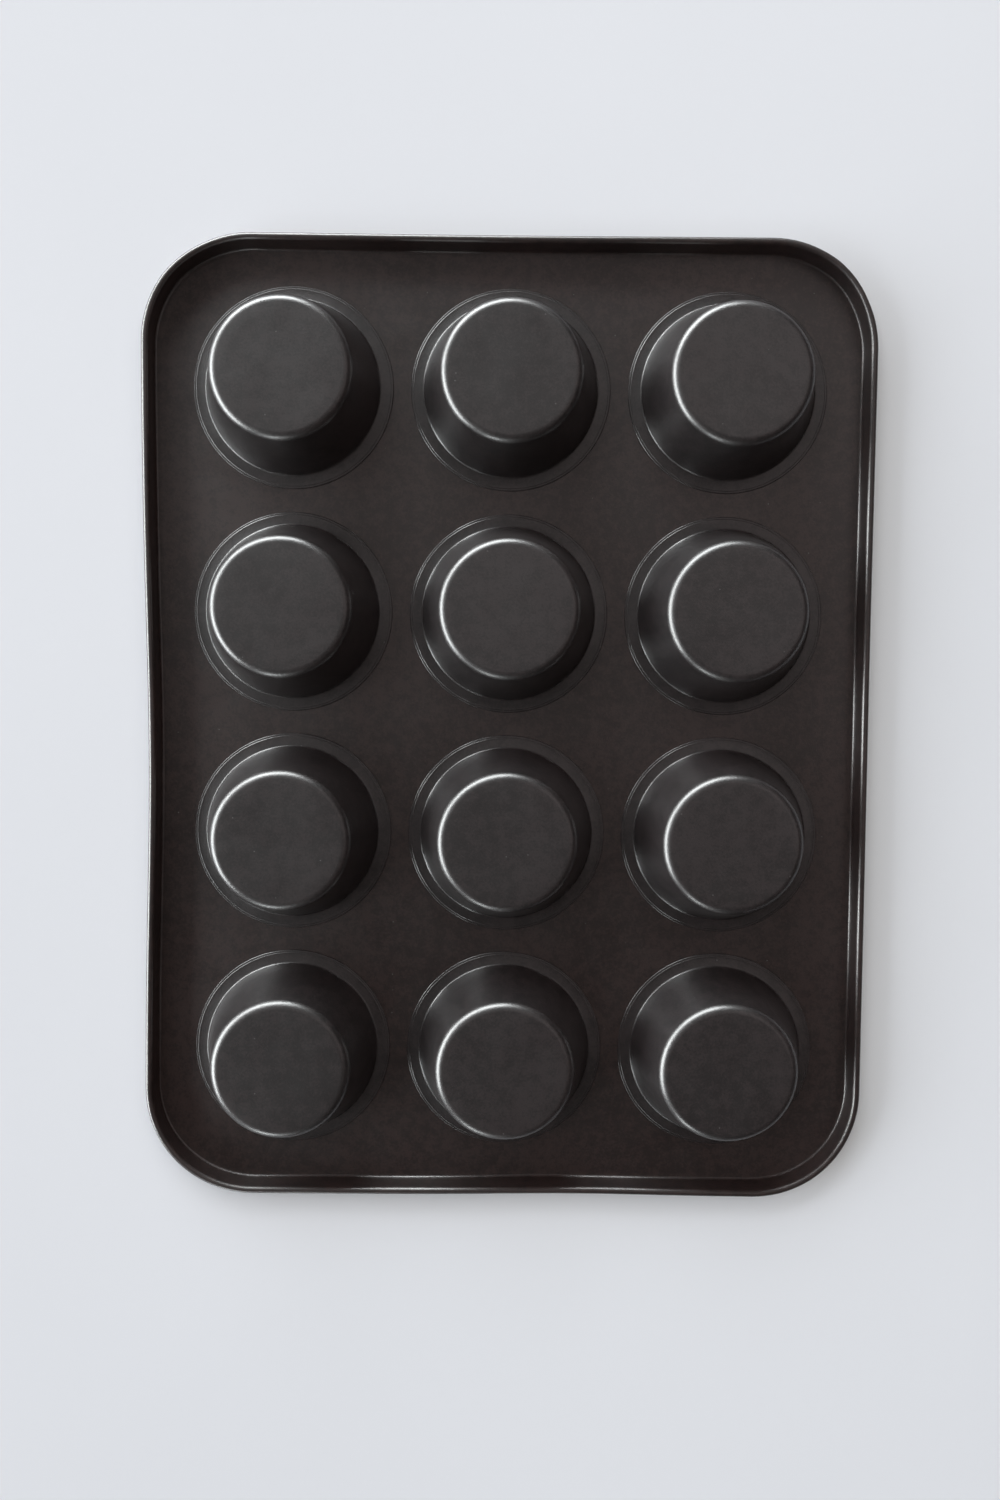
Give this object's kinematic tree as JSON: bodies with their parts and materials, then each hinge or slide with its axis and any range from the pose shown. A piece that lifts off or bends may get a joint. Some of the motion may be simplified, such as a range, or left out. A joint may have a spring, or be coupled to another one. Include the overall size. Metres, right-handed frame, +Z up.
{
  "type": "muffin tin",
  "caption": "Flat rectangular tin of coated steel sheet with rounded corners, tapered round cups lapped onto its deck, and a turned edge rolled over a wire.",
  "frame": {"origin": "Centre of the rectangle of the rim in X and Y, in the plane of the cup mouths (the deck's mouth side), which is the lowest plane of the part as it lies bottom up.", "axes": "+Z up, from the mouths to the cup bottoms, because the tin is modelled lying on its mouths with the cups pointing up; turn it over about X or Y for use. +X across the three columns of cups, +Y along the four rows, from row 4 to row 1."},
  "size_m": [0.268, 0.3544, 0.03],
  "materials": {
    "coated_sheet": "satin dark non-stick coating",
    "coated_cup": "satin dark non-stick coating",
    "rim_wire": "plain drawn steel wire"
  },
  "bodies": {
    "root": {"deck": "coated_sheet", "rim_wire": "rim_wire", "cup_r1_c1": "coated_cup", "cup_r1_c2": "coated_cup", "cup_r1_c3": "coated_cup", "cup_r2_c1": "coated_cup", "cup_r2_c2": "coated_cup", "cup_r2_c3": "coated_cup", "cup_r3_c1": "coated_cup", "cup_r3_c2": "coated_cup", "cup_r3_c3": "coated_cup", "cup_r4_c1": "coated_cup", "cup_r4_c2": "coated_cup", "cup_r4_c3": "coated_cup"}
  },
  "joints": []
}
